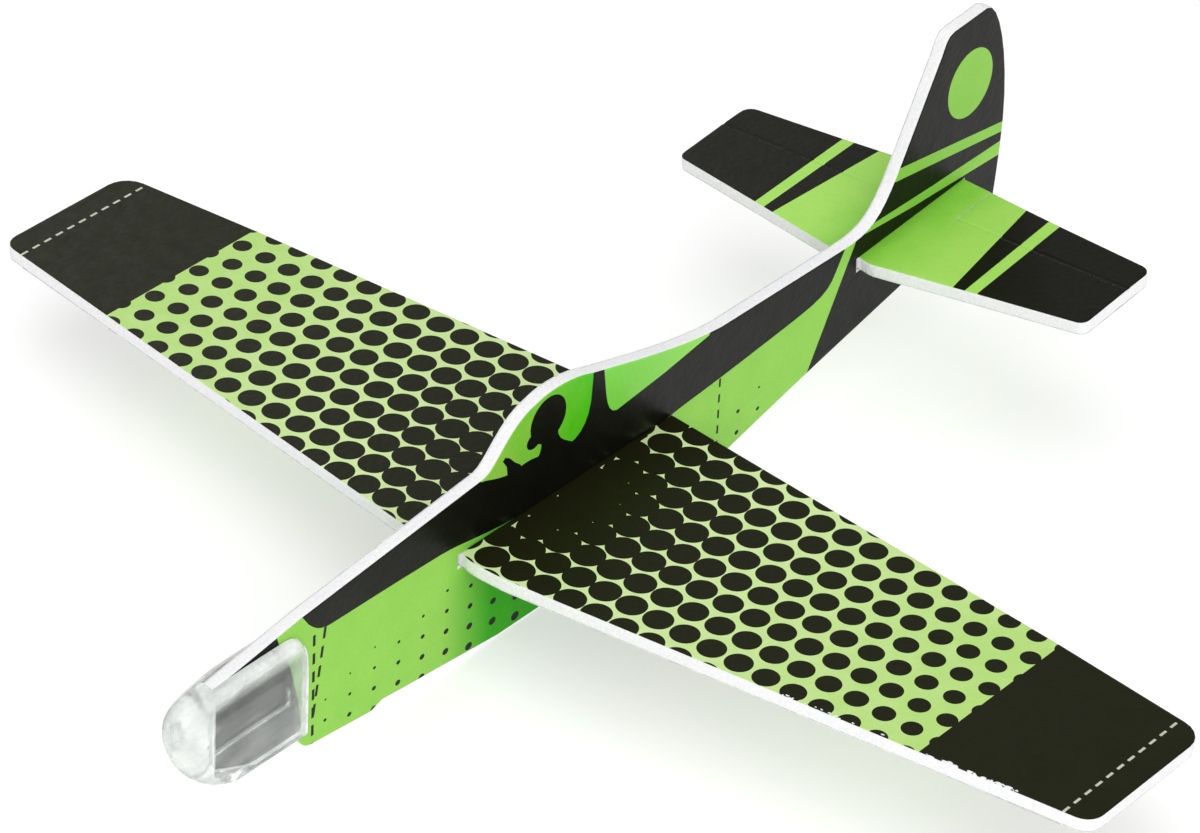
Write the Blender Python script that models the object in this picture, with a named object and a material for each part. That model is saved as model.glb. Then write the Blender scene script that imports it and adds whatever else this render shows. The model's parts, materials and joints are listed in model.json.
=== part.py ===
"""Slot-together foam glider with a clear nose cap.

Every flat piece is cut from one laminate: a white foam core with a printed film on each face.
The wing and the tailplane pass through slots in the fuselage, the tailplane carries two
elevator flaps on pressed creases, and a clear moulded cap clips over the nose.

Frame: metres, nose towards -Y, port wing towards +X, +Z up. The origin is below the middle of
the bounding box, level with the belly edge that the glider stands on.
"""

import math

import bmesh
import bpy
from mathutils import Matrix, Vector

MM = 0.001

# Laminate
SHEET = 2.0
FILM = 0.08
GLUE_LINE = 0.02
FILM_INSET = 0.05
CORE_HALF = SHEET / 2 - FILM - GLUE_LINE
SLOT_CLEARANCE = 0.15

# Wing
WING_TOP_Z = 16.95
HALF_SPAN = 90.0
WING_BREAK_X = 67.0
WING_LE_ROOT_Y = -30.3
WING_TE_ROOT_Y = 11.85
WING_WAIST_Y = -29.75
WING_TIP_FRONT_ROUND = 2.6
WING_TIP_REAR_ROUND = 3.6

# Tailplane, drawn in its own frame with its origin at the middle of the leading edge. It is tilted
# nose-down, and it sits canted in its slot with its port tip high.
TAIL_ORIGIN = (0.0, 49.95, 22.985)
TAIL_TILT = math.radians(4.7)
TAIL_CANT = math.radians(3.3)
TAIL_HALF_SPAN = 34.2
TAIL_CHORD = 23.6
CREASE_U = 15.35
FLAP_INNER_X = 6.1
FLAP_CUT = 0.2
CREASE_HALF = 0.4
HINGE_HALF = 0.36
HINGE_THICKNESS = 0.5
HINGE_END_GAP = 0.2
TAIL_TIP_FRONT_ROUND = 1.5
TAIL_TIP_REAR_ROUND = 1.8

# Nose cap
CAP_REAR_Y = -58.65
CAP_TOP_Z = 21.5
CAP_BOTTOM_Z = 5.3
CAP_FRONT_Y = -81.45
CAP_HALF_WIDTH = 2.2
CAP_SLOT_HALF = 1.12
CAP_TOP_REAR_ROUND = 3.8
CAP_BOTTOM_REAR_ROUND = 0.8
CAP_EDGE_ROUND = 0.5
CAP_BULB_START_Y = -68.0
CAP_RIM_HALF = 0.1
CAP_ROUND_STEPS = 5

# The sunk panel in each cheek of the cap: front, rear, bottom and top of its floor and its mouth
CAP_PANEL_X = 1.7
CAP_PANEL_FLOOR = (-75.4, -60.4, 7.2, 17.9)
CAP_PANEL_MOUTH = (-75.9, -60.0, 6.8, 20.6)
CAP_PANEL_CORNER_CUT = (6.5, 3.0)
CAP_PANEL_REAR_ROUND = 1.4
CAP_PANEL_FRONT_ROUND = 1.0

# The nose tongue that the cap grips
NOSE_FRONT_Y = -74.9
NOSE_CHAMFER_START = (-74.9, 8.9)
NOSE_CHAMFER_END = (-67.3, 5.5)
CAP_NOSE_CLEARANCE = 0.2

# Colours, as linear RGB
FOAM_WHITE = (0.87, 0.87, 0.85)
PRINT_GREEN = (0.31, 0.65, 0.09)
WING_GREEN = (0.42, 0.74, 0.18)
PRINT_BLACK = (0.032, 0.032, 0.026)
CLEAR = (0.86, 0.88, 0.86)

CURVE_STEPS = 8
CORNER_STEPS = 5
LEAST_MITER = 0.4
CUT_MARGIN = 5.0
CUT_OVERLAP = 0.05
SMOOTH_ANGLE = math.radians(35)


def remove_everything():
    for old in list(bpy.data.objects):
        bpy.data.objects.remove(old, do_unlink=True)


def material(name, color, roughness, metallic=0.0, alpha=1.0, transmission=0.0):
    made = bpy.data.materials.new(name)
    made.use_nodes = True
    shader = made.node_tree.nodes["Principled BSDF"]
    shader.inputs["Base Color"].default_value = (*color, 1.0)
    shader.inputs["Roughness"].default_value = roughness
    shader.inputs["Metallic"].default_value = metallic
    shader.inputs["Alpha"].default_value = alpha
    shader.inputs["Transmission Weight"].default_value = transmission
    made.diffuse_color = (*color, alpha)
    return made


def curve(start, first, second, end, steps=CURVE_STEPS):
    """Points of a cubic curve after its start, up to and including its end."""
    points = []
    for step in range(1, steps + 1):
        t = step / steps
        s = 1 - t
        points.append(tuple(
            s ** 3 * a + 3 * s * s * t * b + 3 * s * t * t * c + t ** 3 * d
            for a, b, c, d in zip(start, first, second, end)
        ))
    return points


def rounded(before, corner, after, radius, steps=CORNER_STEPS):
    """Points of an arc that rounds a corner between two straight sides."""
    here = Vector(corner)
    back = (Vector(before) - here).normalized()
    on = (Vector(after) - here).normalized()
    half = math.acos(max(-1.0, min(1.0, back.dot(on)))) / 2
    reach = radius / math.tan(half)
    centre = here + (back + on).normalized() * radius / math.sin(half)
    first = here + back * reach - centre
    last = here + on * reach - centre
    sweep = math.atan2(first.x * last.y - first.y * last.x, first.dot(last))
    start = math.atan2(first.y, first.x)
    angles = [start + sweep * step / steps for step in range(steps + 1)]
    return [(centre.x + radius * math.cos(a), centre.y + radius * math.sin(a)) for a in angles]


def signed_area(outline):
    following = outline[1:] + outline[:1]
    return sum(a[0] * b[1] - b[0] * a[1] for a, b in zip(outline, following)) / 2


def inward_normals(outline):
    """A miter direction for each point, which moves both of its sides inwards by one unit."""
    turn = 1 if signed_area(outline) > 0 else -1
    found = []
    for index, point in enumerate(outline):
        before = Vector(outline[index - 1])
        here = Vector(point)
        after = Vector(outline[(index + 1) % len(outline)])
        into = (here - before).normalized()
        out = (after - here).normalized()
        first = Vector((-into.y, into.x)) * turn
        second = Vector((-out.y, out.x)) * turn
        middle = (first + second).normalized()
        found.append(middle / max(LEAST_MITER, middle.dot(first)))
    return found


def inset(outline, distance):
    return [
        tuple(Vector(point) + normal * distance)
        for point, normal in zip(outline, inward_normals(outline))
    ]


def standing(depth, a, b):
    """A sheet drawn in the YZ plane: depth runs along X."""
    return Vector((depth, a, b)) * MM


def lying(depth, a, b):
    """A sheet drawn in the XY plane: depth runs along Z."""
    return Vector((a, b, depth)) * MM


def add_object(name, mesh, look, origin=(0.0, 0.0, 0.0), parent=None):
    """An object whose origin is at a point given in millimetres, with its mesh left where it was drawn."""
    at = Vector(origin) * MM
    mesh.transform(Matrix.Translation(-at))
    made = bpy.data.objects.new(name, mesh)
    made.location = at
    made.parent = parent
    if look:
        mesh.materials.append(look)
    bpy.context.scene.collection.objects.link(made)
    return made


def mesh_from(name, shape):
    bmesh.ops.recalc_face_normals(shape, faces=shape.faces)
    mesh = bpy.data.meshes.new(name)
    shape.to_mesh(mesh)
    shape.free()
    return mesh


def loft(name, rings, place):
    """A closed body through rings of equal length; each ring is (depth, points)."""
    shape = bmesh.new()
    rows = [[shape.verts.new(place(depth, *point)) for point in points] for depth, points in rings]
    for low, high in zip(rows, rows[1:]):
        for index, vertex in enumerate(low):
            after = (index + 1) % len(low)
            shape.faces.new((vertex, low[after], high[after], high[index]))
    shape.faces.new(rows[0][::-1])
    shape.faces.new(rows[-1])
    return mesh_from(name, shape)


def sheet(name, outline, low, high, place, look, **where):
    return add_object(name, loft(name, [(low, outline), (high, outline)], place), look, **where)


def laminate(names, outline, middle, place, looks, **where):
    """A foam core with a film on its low face and on its high face, from three names."""
    core, low_film, high_film = names
    foam, low_look, high_look = looks
    film_outline = inset(outline, FILM_INSET)
    inner = CORE_HALF + GLUE_LINE
    outer = SHEET / 2
    return [
        sheet(core, outline, middle - CORE_HALF, middle + CORE_HALF, place, foam, **where),
        sheet(low_film, film_outline, middle - outer, middle - inner, place, low_look, **where),
        sheet(high_film, film_outline, middle + inner, middle + outer, place, high_look, **where),
    ]


def cutter(name, outline, low, high, place, **where):
    made = sheet(name, outline, low, high, place, None, **where)
    made.hide_render = True
    made.display_type = "WIRE"
    return made


def cut(target, tool):
    modifier = target.modifiers.new(tool.name, "BOOLEAN")
    modifier.operation = "DIFFERENCE"
    modifier.solver = "EXACT"
    modifier.object = tool


def shade_smooth(target):
    target.data.shade_smooth()
    target.data.set_sharp_from_angle(angle=SMOOTH_ANGLE)


def fuselage_outline():
    """Side profile as (y, z), from the top of the nose tongue round the canopy, fin and belly."""
    canopy_foot = (-26.0, 26.45)
    canopy_front = (-16.0, 33.0)
    canopy_back = (-5.2, 32.1)
    boom_start = (21.0, 26.35)
    boom_end = (47.0, 26.1)
    fin_foot = (57.5, 32.8)
    fin_shoulder = (65.3, 47.6)
    fin_top_front = (67.8, 50.6)
    fin_top_rear = (75.0, 51.2)
    fin_rear = (81.45, 31.0)
    keel_rear = (80.8, 18.6)
    belly_rear = (43.8, 10.0)
    belly_flat_rear = (-8.0, 0.0)
    chin = (-57.3, 2.5)
    tongue_bottom = (-59.8, 4.9)
    outline = [(NOSE_FRONT_Y, 20.7), (-59.4, 23.1), canopy_foot]
    outline += curve(canopy_foot, (-23.5, 26.9), (-21.5, 32.2), canopy_front)
    outline += curve(canopy_front, (-13.5, 33.75), (-9.0, 33.6), canopy_back)
    outline += curve(canopy_back, (3.0, 29.9), (13.0, 26.9), boom_start)
    outline += [boom_end]
    outline += curve(boom_end, (52.5, 26.0), (54.6, 27.6), fin_foot)
    outline += [fin_shoulder]
    outline += curve(fin_shoulder, (66.0, 49.1), (66.2, 50.4), fin_top_front, 4)
    outline += [fin_top_rear]
    outline += curve(fin_top_rear, (77.8, 51.3), (81.2, 42.0), fin_rear)
    outline += curve(fin_rear, (81.45, 26.0), (81.1, 22.0), keel_rear, 3)
    outline += [(80.0, 17.95), belly_rear]
    outline += curve(belly_rear, (22.0, 5.2), (6.0, 0.0), belly_flat_rear)
    outline += [(-22.0, 0.0), (-44.0, 2.05), (-46.2, 1.35), chin]
    outline += curve(chin, (-58.4, 2.7), (-59.3, 3.6), tongue_bottom, 4)
    outline += [NOSE_CHAMFER_END, NOSE_CHAMFER_START]
    return outline


def wing_outline():
    """Plan as (x, y): tapered both ways, with rounded tips and a small waist at the fuselage."""
    leading = [(8.0, -30.2), (17.2, -29.0), (86.0, -19.65)]
    trailing = [(86.0, 4.65), (WING_BREAK_X, 6.55)]
    tip_front = (HALF_SPAN, -19.1)
    tip_rear = (HALF_SPAN, 4.25)
    waist = (1.3, WING_WAIST_Y)
    half = [waist] + curve(waist, (1.9, -30.1), (2.8, WING_LE_ROOT_Y), (4.6, WING_LE_ROOT_Y), 4)
    half += leading
    half += rounded(leading[-1], tip_front, tip_rear, WING_TIP_FRONT_ROUND)
    half += rounded(tip_front, tip_rear, trailing[0], WING_TIP_REAR_ROUND)
    half += trailing
    mirrored = [(-x, y) for x, y in reversed(half)]
    return half + [(0.0, WING_TE_ROOT_Y)] + mirrored


def tail_half_points():
    """Corner points of one half of the tailplane as (x, u), u running aft from the leading edge."""
    tip_front = (TAIL_HALF_SPAN, 5.35)
    tip_rear = (TAIL_HALF_SPAN, 20.65)
    rear_break = (18.6, 21.85)
    return tip_front, tip_rear, rear_break


def trailing_edge_u(x):
    """Where the tailplane's trailing edge lies at a distance x from the middle."""
    _, tip_rear, rear_break = tail_half_points()
    if x < rear_break[0]:
        share = x / rear_break[0]
        return TAIL_CHORD + (rear_break[1] - TAIL_CHORD) * share
    share = (x - rear_break[0]) / (tip_rear[0] - rear_break[0])
    return rear_break[1] + (tip_rear[1] - rear_break[1]) * share


def tailplane_outline():
    """The fixed part of the tailplane: full chord in the middle, cut back to the crease outboard."""
    tip_front, _, _ = tail_half_points()
    tab_x = FLAP_INNER_X - FLAP_CUT / 2
    fixed_rear = CREASE_U - CREASE_HALF
    waist = (1.3, 0.4)
    shoulder = (3.4, 0.1)
    before_tip = (18.6, 2.75)
    half = [waist] + curve(waist, (1.7, 0.4), (2.4, 0.0), shoulder, 3)
    half += [(15.2, 2.15), before_tip]
    tip = (TAIL_HALF_SPAN, fixed_rear)
    half += rounded(before_tip, tip_front, tip, TAIL_TIP_FRONT_ROUND)
    half += [tip, (tab_x, fixed_rear), (tab_x, trailing_edge_u(tab_x))]
    mirrored = [(-x, u) for x, u in reversed(half)]
    return half + [(0.0, TAIL_CHORD)] + mirrored


def elevator_outline(side):
    """One flap, from the crease to the trailing edge, for side +1 (port) or -1."""
    _, tip_rear, rear_break = tail_half_points()
    inner_x = FLAP_INNER_X + FLAP_CUT / 2
    front = CREASE_U + CREASE_HALF
    outline = [(inner_x, front), (TAIL_HALF_SPAN, front)]
    outline += rounded((TAIL_HALF_SPAN, front), tip_rear, rear_break, TAIL_TIP_REAR_ROUND)
    outline += [rear_break, (inner_x, trailing_edge_u(inner_x))]
    return [(side * x, u) for x, u in outline]


def cap_outline():
    """Side profile of the nose cap as (y, z), from its lower rear corner round the front."""
    bottom_front = (-71.5, 5.4)
    foremost = (CAP_FRONT_Y, 16.8)
    top_front = (-73.5, CAP_TOP_Z)
    rear_top = (CAP_REAR_Y, CAP_TOP_Z)
    rear_bottom = (CAP_REAR_Y, CAP_BOTTOM_Z)
    outline = [bottom_front]
    outline += curve(bottom_front, (-77.3, 5.8), (CAP_FRONT_Y, 12.6), foremost, 9)
    outline += curve(foremost, (CAP_FRONT_Y, 20.0), (-78.6, CAP_TOP_Z), top_front, 7)
    outline += rounded(top_front, rear_top, rear_bottom, CAP_TOP_REAR_ROUND)
    outline += rounded(rear_top, rear_bottom, bottom_front, CAP_BOTTOM_REAR_ROUND, 2)
    return outline


def cap_rings(outline):
    """Rings across the cap: its edge is fully round at the front and only eased at the rear."""
    bulb = CAP_FRONT_Y - CAP_BULB_START_Y
    share = [max(0.0, (y - CAP_BULB_START_Y) / bulb) for y, _ in outline]
    growth = CAP_HALF_WIDTH - CAP_RIM_HALF - CAP_EDGE_ROUND
    radius = [CAP_EDGE_ROUND + growth * math.sqrt(s) for s in share]
    normals = inward_normals(outline)
    rings = []
    for side in (-1, 1):
        steps = range(CAP_ROUND_STEPS + 1)
        for step in reversed(steps) if side < 0 else steps:
            angle = math.pi / 2 * step / CAP_ROUND_STEPS
            ring = []
            for point, normal, round_off in zip(outline, normals, radius):
                inwards = round_off * (1 - math.cos(angle))
                ring.append(tuple(Vector(point) + normal * inwards))
            widths = [CAP_HALF_WIDTH - r * (1 - math.sin(angle)) for r in radius]
            rings.append((side, widths, ring))
    return rings


def loft_cap(outline):
    """The cap's outer body: like a loft, but each point of a ring has its own depth."""
    shape = bmesh.new()
    rows = []
    for side, widths, ring in cap_rings(outline):
        rows.append([shape.verts.new(standing(side * w, *p)) for w, p in zip(widths, ring)])
    for low, high in zip(rows, rows[1:]):
        for index, vertex in enumerate(low):
            after = (index + 1) % len(low)
            shape.faces.new((vertex, low[after], high[after], high[index]))
    shape.faces.new(rows[0][::-1])
    shape.faces.new(rows[-1])
    return mesh_from("nose_cap", shape)


def box_outline(low, high):
    return [low, (high[0], low[1]), high, (low[0], high[1])]


def panel_outline(front, rear, bottom, top):
    """A panel with eased corners and a lower front corner cut along the tongue's chamfer."""
    cut_length, cut_height = CAP_PANEL_CORNER_CUT
    lower_front = (front, bottom + cut_height)
    lower_middle = (front + cut_length, bottom)
    points = rounded((rear, bottom), (rear, top), (front, top), CAP_PANEL_REAR_ROUND, 3)
    points += rounded((rear, top), (front, top), lower_front, CAP_PANEL_FRONT_ROUND, 3)
    points += [lower_front, lower_middle, (rear, bottom)]
    return points


def make_fuselage(foam, film):
    names = ("fuselage_core", "fuselage_print_starboard", "fuselage_print_port")
    sheets = laminate(names, fuselage_outline(), 0.0, standing, (foam, film, film))
    middle = WING_TOP_Z - SHEET / 2
    half = SHEET / 2 + SLOT_CLEARANCE
    low = (WING_LE_ROOT_Y - SLOT_CLEARANCE, middle - half)
    high = (WING_TE_ROOT_Y + SLOT_CLEARANCE, middle + half)
    wing_slot = cutter("wing_slot", box_outline(low, high), -SHEET, SHEET, standing)
    tail_low = (-SLOT_CLEARANCE, -SHEET - SLOT_CLEARANCE)
    tail_high = (TAIL_CHORD + SLOT_CLEARANCE, SLOT_CLEARANCE)
    tail_slot = cutter("tail_slot", box_outline(tail_low, tail_high), -SHEET, SHEET, standing)
    tail_slot.location = Vector(TAIL_ORIGIN) * MM
    tail_slot.rotation_euler = (TAIL_TILT, 0.0, 0.0)
    for one in sheets:
        cut(one, wing_slot)
        cut(one, tail_slot)


def make_wing(foam, film):
    names = ("wing_core", "wing_print_bottom", "wing_print_top")
    laminate(names, wing_outline(), WING_TOP_Z - SHEET / 2, lying, (foam, film, film))


def make_tail(foam, film):
    frame = bpy.data.objects.new("tail_frame", None)
    frame.location = Vector(TAIL_ORIGIN) * MM
    frame.rotation_euler = (TAIL_TILT, -TAIL_CANT, 0.0)
    bpy.context.scene.collection.objects.link(frame)
    names = ("tailplane_core", "tailplane_print_bottom", "tailplane_print_top")
    laminate(names, tailplane_outline(), -SHEET / 2, lying, (foam, film, film), parent=frame)
    hinge = (0.0, CREASE_U, -SHEET / 2)
    for side, label in ((1, "port"), (-1, "starboard")):
        parts = ("core", "print_bottom", "print_top")
        names = [f"elevator_{label}_{part}" for part in parts]
        looks = (foam, film, film)
        outline = elevator_outline(side)
        laminate(names, outline, -SHEET / 2, lying, looks, origin=hinge, parent=frame)
        make_hinge(side, f"elevator_hinge_{label}", foam, hinge, frame)
    bpy.context.view_layer.update()


def make_hinge(side, name, look, hinge, frame):
    """The pressed crease: a thin strip of crushed foam between the tailplane and its flap."""
    inner = FLAP_INNER_X + HINGE_END_GAP
    outer = TAIL_HALF_SPAN - HINGE_END_GAP
    low_x, high_x = sorted((side * inner, side * outer))
    outline = box_outline((low_x, CREASE_U - HINGE_HALF), (high_x, CREASE_U + HINGE_HALF))
    low = -SHEET / 2 - HINGE_THICKNESS / 2
    sheet(name, outline, low, low + HINGE_THICKNESS, lying, look, origin=hinge, parent=frame)


def make_cap(clear):
    """One clear moulding: a solid round front, and two cheeks that grip the nose tongue."""
    cap = add_object("nose_cap", loft_cap(cap_outline()), clear)
    gap = CAP_NOSE_CLEARANCE
    above = CAP_TOP_Z + CUT_MARGIN
    below = CAP_BOTTOM_Z - CUT_MARGIN
    behind = CAP_REAR_Y + CUT_MARGIN
    slot = [
        (NOSE_FRONT_Y - gap, above),
        (NOSE_FRONT_Y - gap, NOSE_CHAMFER_START[1] - gap),
        (NOSE_CHAMFER_END[0] - gap, NOSE_CHAMFER_END[1] - gap),
        (NOSE_CHAMFER_END[0] - gap, below),
        (behind, below),
        (behind, above),
    ]
    cut(cap, cutter("cap_slot", slot, -CAP_SLOT_HALF, CAP_SLOT_HALF, standing))
    floor = panel_outline(*CAP_PANEL_FLOOR)
    mouth = panel_outline(*CAP_PANEL_MOUTH)
    for side, label in ((1, "port"), (-1, "starboard")):
        rings = [(side * CAP_PANEL_X, floor), (side * (CAP_HALF_WIDTH + CUT_OVERLAP), mouth)]
        tool = add_object(f"cap_panel_{label}", loft(f"cap_panel_{label}", rings, standing), None)
        tool.hide_render = True
        tool.display_type = "WIRE"
        cut(cap, tool)
    shade_smooth(cap)


def main():
    remove_everything()
    foam = material("foam_white", FOAM_WHITE, 0.75)
    body_film = material("print_green", PRINT_GREEN, 0.35)
    wing_film = material("wing_print", WING_GREEN, 0.32)
    tail_film = material("tail_print", PRINT_BLACK, 0.35)
    clear = material("clear_plastic", CLEAR, 0.06, alpha=0.4, transmission=0.9)
    make_fuselage(foam, body_film)
    make_wing(foam, wing_film)
    make_tail(foam, tail_film)
    make_cap(clear)


main()
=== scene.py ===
"""Looks of the slot-together foam glider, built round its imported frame.

Every flat piece is a white foam core between two printed films. The films are flat sheets cut along
the outlines of their print, so that each colour is its own faces. All drawing is in millimetres on
the plane of the piece: (u, v) on the sheet and w above its middle.
"""

import json
import math
import random

import bmesh
import bpy
import numpy as np
from mathutils import Matrix, Vector
from mathutils.geometry import convex_hull_2d, delaunay_2d_cdt
from mathutils.noise import noise


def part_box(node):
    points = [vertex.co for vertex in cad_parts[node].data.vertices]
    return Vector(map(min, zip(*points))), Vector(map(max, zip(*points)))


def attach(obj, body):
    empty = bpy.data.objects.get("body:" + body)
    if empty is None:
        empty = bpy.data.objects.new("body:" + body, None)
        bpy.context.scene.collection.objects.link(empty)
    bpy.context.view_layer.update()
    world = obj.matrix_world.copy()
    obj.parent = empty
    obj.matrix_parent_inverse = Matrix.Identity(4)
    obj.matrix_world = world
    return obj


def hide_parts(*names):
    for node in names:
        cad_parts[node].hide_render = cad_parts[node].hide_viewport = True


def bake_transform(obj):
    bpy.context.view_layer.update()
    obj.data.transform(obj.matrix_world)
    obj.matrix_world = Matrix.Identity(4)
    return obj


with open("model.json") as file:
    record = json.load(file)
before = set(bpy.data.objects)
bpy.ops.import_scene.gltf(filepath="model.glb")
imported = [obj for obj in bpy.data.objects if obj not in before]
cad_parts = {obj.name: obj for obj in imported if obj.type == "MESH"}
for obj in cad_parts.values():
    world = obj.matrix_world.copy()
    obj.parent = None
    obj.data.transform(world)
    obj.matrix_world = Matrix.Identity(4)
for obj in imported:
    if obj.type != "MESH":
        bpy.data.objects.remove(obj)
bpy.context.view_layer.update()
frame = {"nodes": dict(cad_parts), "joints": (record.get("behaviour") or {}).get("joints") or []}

MM = 0.001

# Sheet: half thickness of the whole laminate and of its core
SHEET_HALF = 1.0
CORE_HALF = 0.9

# Film: its thickness, and how far and how wide its cut edge is pressed down
FILM = 0.08
FILM_EDGE_DROP = 0.05
FILM_EDGE_WIDTH = 0.25

# Foam's cut edge: height as a share of the core's half thickness, and how far inside the outline
CUT_PROFILE = (
    (1.0, 0.2), (0.975, 0.09), (0.9, 0.03), (0.7, 0.0), (0.4, -0.012), (0.1, -0.008),
)
FOAM_STEP = 0.5

# Meshing: points closer than this are one, and a point this near an outer level lies on that face
WELD = 0.001
SAME_FACE = 0.01

# Wing print: the dots' lattice, with one dot's centre on each half, and the black tips
DOT_PITCH = 4.23
DOT_ANCHOR_PORT = (38.05, 6.15)
DOT_ANCHOR_STARBOARD = (49.45, -5.98)
TIP_PORT_U = 66.75
TIP_STARBOARD_U = 67.8
TIP_DASH_U = 86.1

# Dots shrink outwards: radius at a distance from the middle of the root, where v counts a little less
DOT_CENTRE_V = -10.5
DOT_STRETCH_V = 0.92
DOT_SIZES = (
    (0.0, 3.0), (9.0, 2.62), (13.0, 2.37), (18.0, 2.22), (24.0, 2.1), (32.0, 1.97), (42.0, 1.86),
    (51.0, 1.69), (59.0, 1.51), (64.5, 1.37), (70.0, 1.3),
)

# Torn patches of the leading edge: from u, to u, number of specks, and the largest speck
TORN_PATCHES = ((48.0, 62.0, 16, 0.3), (67.5, 80.0, 34, 0.5))

# Crease of the tailplane's flaps, as distances aft of the joint's axis, and its rows of points
CREASE_REACH = 0.4
CREASE_DEPTH = 0.08
CREASE_ROWS = (-0.4, -0.27, -0.13, 0.0, 0.13, 0.27, 0.4)
CREASE_END_GAP = 0.8
CORNER_CLEAR = 0.22
POINT_GAP = 0.02

# Flaps: how far their films reach ahead of the crease, the slit between a flap and the middle, and
# how near to the crease or to the slit a point of the outline counts as lying on it
FILM_REACH = 0.447
SLIT_U = 6.05
AT_CREASE_V = 0.5
AT_SLIT_U = 6.55

# Nose cap: half widths of the moulding and of its slot, the slot's clearance and lower corner, the
# height of its long rib, and its surface's mesh
CAP_HALF = 2.2
CAP_SLOT_HALF = 1.12
CAP_SLOT_GAP = 0.2
CAP_SLOT_CORNER = (-67.45, 5.35)
CAP_RIB_Z = 11.8
CAP_EDGE_STEP = 0.35
CAP_EDGE_ROWS = (0.07, 0.2, 0.4, 0.7)
CAP_GRID_STEP = 0.36
CAP_GRID_DEPTH = 0.85

# Textures: noise scales for slow drift and fine speckle of an ink, and the film's gloss
DRIFT_SCALE = 230
SPECKLE_SCALE = 3600
FILM_ROUGHNESS = (0.3, 0.42)

# Stage, in metres
FLOOR_HALF = 2.5
FLOOR_Z = -0.0001
FLOOR_GLOW = 0.55
SKY_STRENGTH = 0.45
SOFTBOXES = (
    ("overhead", (0.1, -0.2, 1.0), 1.0, 3.9),
    ("front", (0.78, -0.62, 0.58), 0.8, 5.2),
    ("back_left", (-0.85, 0.5, 0.62), 0.55, 1.2),
)
SOFTBOX_AIM = (0.0, 0.0, 0.02)

# Camera: degrees, metres, and millimetres of lens and sensor
CAMERA_AZIMUTH = 38.185
CAMERA_ELEVATION = 34.79
CAMERA_ROLL = 3.153
CAMERA_TARGET = (-0.00024, -0.00196, 0.02311)
CAMERA_DISTANCE = 0.697
CAMERA_LENS = 164.56
CAMERA_SENSOR = 36.0

# Inks, by the order of a film's material slots
GREEN, BLACK, CREAM, WINDOW, PANE, BARE = range(6)


# ------------------------------------------------------------------------------------------ planes


class Plane:
    """A drawing plane in the middle of a sheet: u and v along it, w out of it, in millimetres."""

    def __init__(self, origin, along, across):
        self.origin = Vector(origin)
        self.u = Vector(along).normalized()
        self.v = Vector(across).normalized()
        self.w = self.u.cross(self.v)

    def place(self, u, v, w):
        return self.origin + (self.u * u + self.v * v + self.w * w) * MM

    def read(self, point):
        away = (Vector(point) - self.origin) / MM
        return away.dot(self.u), away.dot(self.v), away.dot(self.w)


def middle_between(low_node, high_node):
    """Half way between the outer faces of two nodes that lie one above the other."""
    low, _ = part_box(low_node)
    _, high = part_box(high_node)
    return (low + high) / 2


def tail_plane():
    """The tailplane's plane, with v = 0 on the line that both flaps turn about."""
    hinges = [joint for joint in frame["joints"] if joint["type"] == "hinge"]
    points = [Vector(joint["pos_m"]) for joint in hinges]
    span = Vector(hinges[0]["axis"]).normalized()
    mesh = frame["nodes"]["tailplane_print_top"].data
    normal = max(mesh.polygons, key=lambda polygon: polygon.area).normal.copy()
    if normal.z < 0:
        normal.negate()
    return Plane(sum(points, Vector()) / len(points), span, normal.cross(span))


FUSELAGE = Plane((0, 0, 0), (0, 1, 0), (0, 0, 1))
WING = Plane((0, 0, middle_between("wing_print_bottom", "wing_print_top").z), (1, 0, 0), (0, 1, 0))
TAIL = tail_plane()


# ---------------------------------------------------------------------------------------- outlines


def bezier(start, first, second, end, steps):
    """Points of a cubic curve after its start, up to and including its end."""
    corners = (start, first, second, end)
    points = []
    for step in range(1, steps + 1):
        t = step / steps
        s = 1 - t
        weights = (s ** 3, 3 * s * s * t, 3 * s * t * t, t ** 3)
        points.append(tuple(sum(w * p[i] for w, p in zip(weights, corners)) for i in (0, 1)))
    return points


def ellipse(u, v, radius_u, radius_v, steps):
    angles = [2 * math.pi * step / steps for step in range(steps)]
    return [(u + radius_u * math.cos(a), v + radius_v * math.sin(a)) for a in angles]


def dashes(start, end, length, pitch, width):
    """Short bars along a line, each a rectangle."""
    start, end = Vector(start), Vector(end)
    along = (end - start).normalized()
    across = Vector((-along.y, along.x)) * width / 2
    bars = []
    for step in range(int((end - start).length / pitch) + 1):
        a = start + along * pitch * step
        b = a + along * length
        bars.append([tuple(p) for p in (a - across, b - across, b + across, a + across)])
    return bars


def area(ring):
    """The ring's area, which is negative where it runs clockwise."""
    return sum(a[0] * b[1] - b[0] * a[1] for a, b in zip(ring, ring[1:] + ring[:1])) / 2


def outlines(node, plane, side):
    """The closed outlines of a CAD node's outer flat face: its edge, and the edges of its slots."""
    mesh = frame["nodes"][node].data
    points = [plane.read(vertex.co) for vertex in mesh.vertices]
    level = max(side * point[2] for point in points)
    keys = [(round(point[0], 3), round(point[1], 3)) for point in points]
    used = set()
    for polygon in mesh.polygons:
        if all(side * points[index][2] > level - SAME_FACE for index in polygon.vertices):
            ring = [keys[index] for index in polygon.vertices]
            used.update((a, b) for a, b in zip(ring, ring[1:] + ring[:1]) if a != b)
    after = {a: b for a, b in used if (b, a) not in used}
    rings = []
    while after:
        first, here = after.popitem()
        ring = [first]
        while here != first:
            ring.append(here)
            here = after.pop(here)
        rings.append(ring if area(ring) > 0 else ring[::-1])
    return sorted(rings, key=area, reverse=True)


def inset(ring, distance):
    """The ring moved towards its own inside, mitred at its corners."""
    moved = []
    for index, point in enumerate(ring):
        here = Vector(point)
        into = (here - Vector(ring[index - 1])).normalized()
        out = (Vector(ring[(index + 1) % len(ring)]) - here).normalized()
        first = Vector((-into.y, into.x))
        second = Vector((-out.y, out.x))
        middle = (first + second).normalized()
        moved.append(tuple(here + middle * distance / max(0.5, middle.dot(first))))
    return moved


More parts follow.
